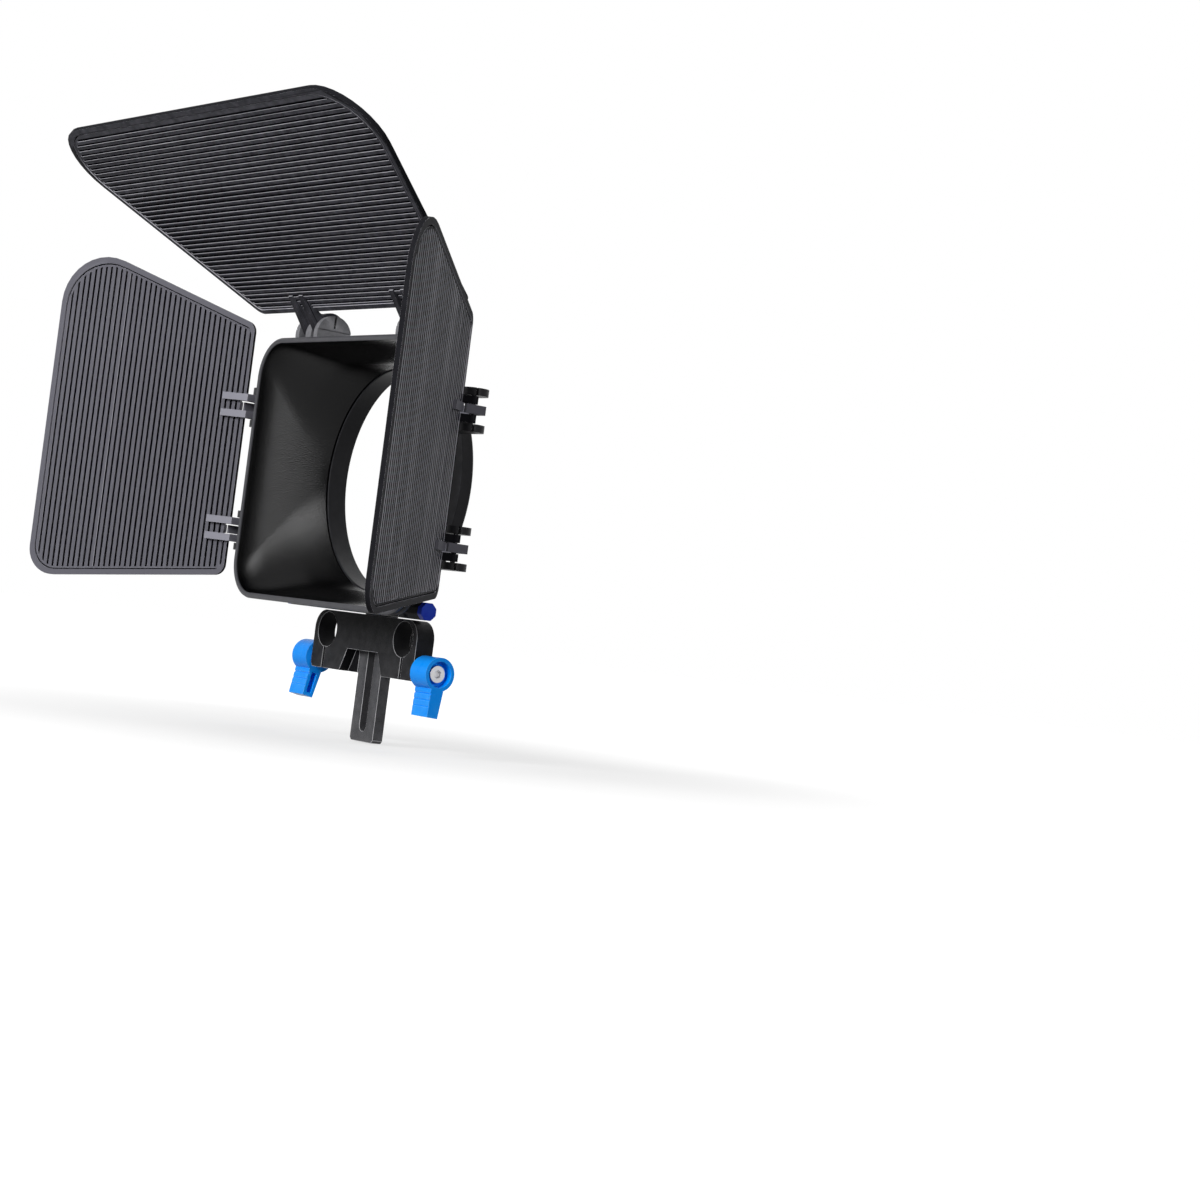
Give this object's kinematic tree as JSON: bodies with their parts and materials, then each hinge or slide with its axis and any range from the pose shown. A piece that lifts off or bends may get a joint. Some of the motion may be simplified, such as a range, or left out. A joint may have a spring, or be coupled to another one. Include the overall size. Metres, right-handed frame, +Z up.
{
  "type": "matte box",
  "caption": "Rod-mounted matte box with two side flags and a top flag on friction hinges, a height bar and a split clamp for 15 mm rods.",
  "frame": {"origin": "lens axis at the rear face of the rear ring", "axes": "+Z up, -Y the way the hood looks, +X to the right seen from the front"},
  "size_m": [0.3179, 0.1394, 0.2439],
  "materials": {
    "hood_plastic": "black moulded plastic, fine texture, satin sheen",
    "flag_plastic": "charcoal moulded plastic, satin",
    "black_metal": "black anodised, bead-blasted",
    "blue_metal": "bright blue anodised",
    "steel": "plain machined steel"
  },
  "bodies": {
    "clamp": {"rod_clamp": "black_metal", "left_jaw_washer": "steel", "right_jaw_washer": "steel", "lock_washer": "steel"},
    "hood_body": {"hood": "hood_plastic", "rear_ring": "hood_plastic", "left_upper_hinge_pin": "black_metal", "left_lower_hinge_pin": "black_metal", "right_upper_hinge_pin": "black_metal", "right_lower_hinge_pin": "black_metal", "left_top_hinge_pin": "black_metal", "right_top_hinge_pin": "black_metal", "mounting_plate": "black_metal", "height_bar": "black_metal", "bar_screws": "steel"},
    "left_flag_body": {"left_flag": "flag_plastic"},
    "right_flag_body": {"right_flag": "flag_plastic"},
    "top_flag_body": {"top_flag": "flag_plastic"},
    "left_thumb": {"left_thumb_screw": "blue_metal"},
    "right_thumb": {"right_thumb_screw": "blue_metal"},
    "left_lever_body": {"left_lever": "blue_metal", "left_jaw_bolt": "steel"},
    "right_lever_body": {"right_lever": "blue_metal", "right_jaw_bolt": "steel"},
    "lock_body": {"lock_knob": "black_metal", "lock_stud": "steel"}
  },
  "joints": [
    {"name": "hood_height", "type": "slide", "parent": "clamp", "child": "hood_body", "axis": [0, 0, 1], "range_m": [0, 0.038]},
    {"name": "left_flag_hinge", "type": "hinge", "parent": "hood_body", "child": "left_flag_body", "pos_m": [-0.0852, -0.0287, 0], "axis": [0, 0, -1], "range_deg": [-52, 29]},
    {"name": "right_flag_hinge", "type": "hinge", "parent": "hood_body", "child": "right_flag_body", "pos_m": [0.0852, -0.0287, 0], "axis": [0, 0, 1], "range_deg": [-38, 43]},
    {"name": "top_flag_hinge", "type": "hinge", "parent": "hood_body", "child": "top_flag_body", "pos_m": [0, -0.026, 0.0623], "axis": [-1, 0, 0], "range_deg": [-11, 56]},
    {"name": "left_thumb_turn", "type": "hinge", "parent": "hood_body", "child": "left_thumb", "pos_m": [-0.05, -0.0162, -0.0535], "axis": [-1, 0, 0], "continuous": true},
    {"name": "right_thumb_turn", "type": "hinge", "parent": "hood_body", "child": "right_thumb", "pos_m": [0.05, -0.0162, -0.0535], "axis": [1, 0, 0], "continuous": true},
    {"name": "left_lever_turn", "type": "hinge", "parent": "clamp", "child": "left_lever_body", "pos_m": [-0.048, -0.006, -0.0783], "axis": [-1, 0, 0], "range_deg": [-90, 90]},
    {"name": "right_lever_turn", "type": "hinge", "parent": "clamp", "child": "right_lever_body", "pos_m": [0.048, -0.006, -0.0783], "axis": [1, 0, 0], "range_deg": [-90, 90]},
    {"name": "lock_knob_turn", "type": "hinge", "parent": "clamp", "child": "lock_body", "pos_m": [0, 0.005, -0.0659], "axis": [0, 1, 0], "continuous": true}
  ]
}
